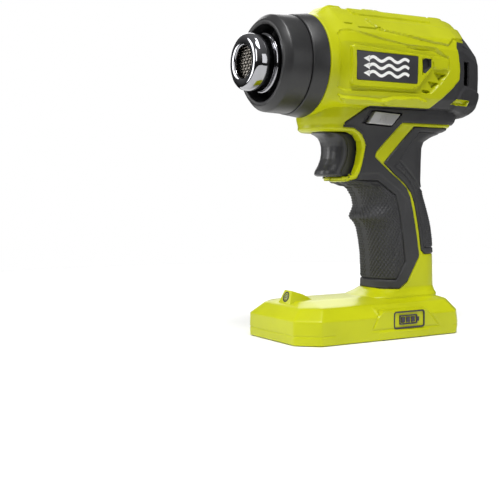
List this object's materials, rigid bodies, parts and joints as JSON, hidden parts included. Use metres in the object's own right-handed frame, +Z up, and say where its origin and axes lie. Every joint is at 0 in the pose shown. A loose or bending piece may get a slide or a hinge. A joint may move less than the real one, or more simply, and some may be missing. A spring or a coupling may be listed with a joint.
{
  "type": "heat gun",
  "caption": "Cordless pistol-grip heat gun with chromed hot-air outlet, heat shroud, soft grip, trigger, lock-off slider and open battery foot.",
  "frame": {"origin": "middle of the whole object's footprint, on the ground under the foot", "axes": "-Y is the way the hot air blows, +X is the side with no screw heads, +Z is up"},
  "size_m": [0.0784, 0.1892, 0.216],
  "materials": {
    "lime_shell": "moulded plastic, fine spark texture, satin",
    "soft_grip": "overmoulded soft rubber, matt",
    "black_shroud": "heat-resistant plastic, satin",
    "chromed_steel": "bright chrome plate",
    "heat_steel": "plain sheet steel",
    "mica": "mica sheet",
    "heating_wire": "oxidised resistance wire",
    "duct_plastic": "moulded plastic, matt",
    "fan_plastic": "moulded plastic, matt",
    "motor_steel": "zinc-plated steel",
    "trigger_plastic": "moulded plastic, semi-gloss",
    "switch_plastic": "moulded plastic, matt",
    "spring_steel": "bright spring wire",
    "silver_plastic": "silver-painted plastic",
    "circuit_board": "solder-masked board",
    "terminal_plastic": "moulded plastic, matt",
    "terminal_brass": "bright brass",
    "lamp_lens": "clear moulded lens",
    "plate_grey": "moulded plate, satin",
    "badge_print": "dark printed badge",
    "screw_steel": "black-oxide steel",
    "wire_red": "insulated wire",
    "wire_black": "insulated wire",
    "wire_white": "glass-sleeved wire"
  },
  "bodies": {
    "housing": {"housing_left": "lime_shell", "housing_right": "lime_shell", "foot_left": "lime_shell", "foot_right": "lime_shell", "foot_rim_left": "lime_shell", "foot_rim_right": "lime_shell", "grip_cover_left": "soft_grip", "grip_cover_right": "soft_grip", "backstrap_left": "soft_grip", "backstrap_right": "soft_grip", "shroud_ring": "black_shroud", "shroud_collar": "black_shroud", "outlet_tube": "chromed_steel", "outlet_grille": "heat_steel", "heater_tube": "heat_steel", "mica_sleeve": "mica", "mica_former": "mica", "heating_coil": "heating_wire", "thermal_cutout": "heat_steel", "air_duct": "duct_plastic", "motor_can": "motor_steel", "motor_end_cap": "switch_plastic", "motor_mount": "duct_plastic", "trigger_spring": "spring_steel", "switch_body": "switch_plastic", "control_board": "circuit_board", "capacitor": "switch_plastic", "terminal_block": "terminal_plastic", "terminal_blade_left": "terminal_brass", "terminal_blade_right": "terminal_brass", "lamp_lens": "lamp_lens", "lamp_board": "circuit_board", "lamp_lead": "wire_white", "battery_lead_red": "wire_red", "battery_lead_black": "wire_black", "heater_lead_left": "wire_white", "heater_lead_right": "wire_white", "motor_lead_left": "wire_red", "motor_lead_right": "wire_black", "name_plate_left": "plate_grey", "name_plate_right": "plate_grey", "badge_left": "badge_print", "badge_right": "badge_print", "screw_1": "screw_steel", "screw_2": "screw_steel", "screw_3": "screw_steel", "screw_4": "screw_steel", "screw_5": "screw_steel", "screw_6": "screw_steel", "screw_7": "screw_steel", "screw_8": "screw_steel"},
    "trigger": {"trigger": "trigger_plastic", "trigger_plunger": "switch_plastic"},
    "lock": {"lock_slider": "silver_plastic"},
    "rotor": {"fan_impeller": "fan_plastic", "fan_shaft": "motor_steel"}
  },
  "joints": [
    {"name": "trigger_slide", "type": "slide", "parent": "housing", "child": "trigger", "axis": [0, 1, 0], "range_m": [0, 0.006], "stiffness_N_per_m": 500, "springref_m": -0.005, "deforming": ["trigger_spring"]},
    {"name": "lock_slide", "type": "slide", "parent": "housing", "child": "lock", "axis": [1, 0, 0], "range_m": [-0.0025, 0.0025]},
    {"name": "fan_spin", "type": "hinge", "parent": "housing", "child": "rotor", "pos_m": [0, 0.0384, 0.1765], "axis": [0, 1, 0], "continuous": true}
  ]
}
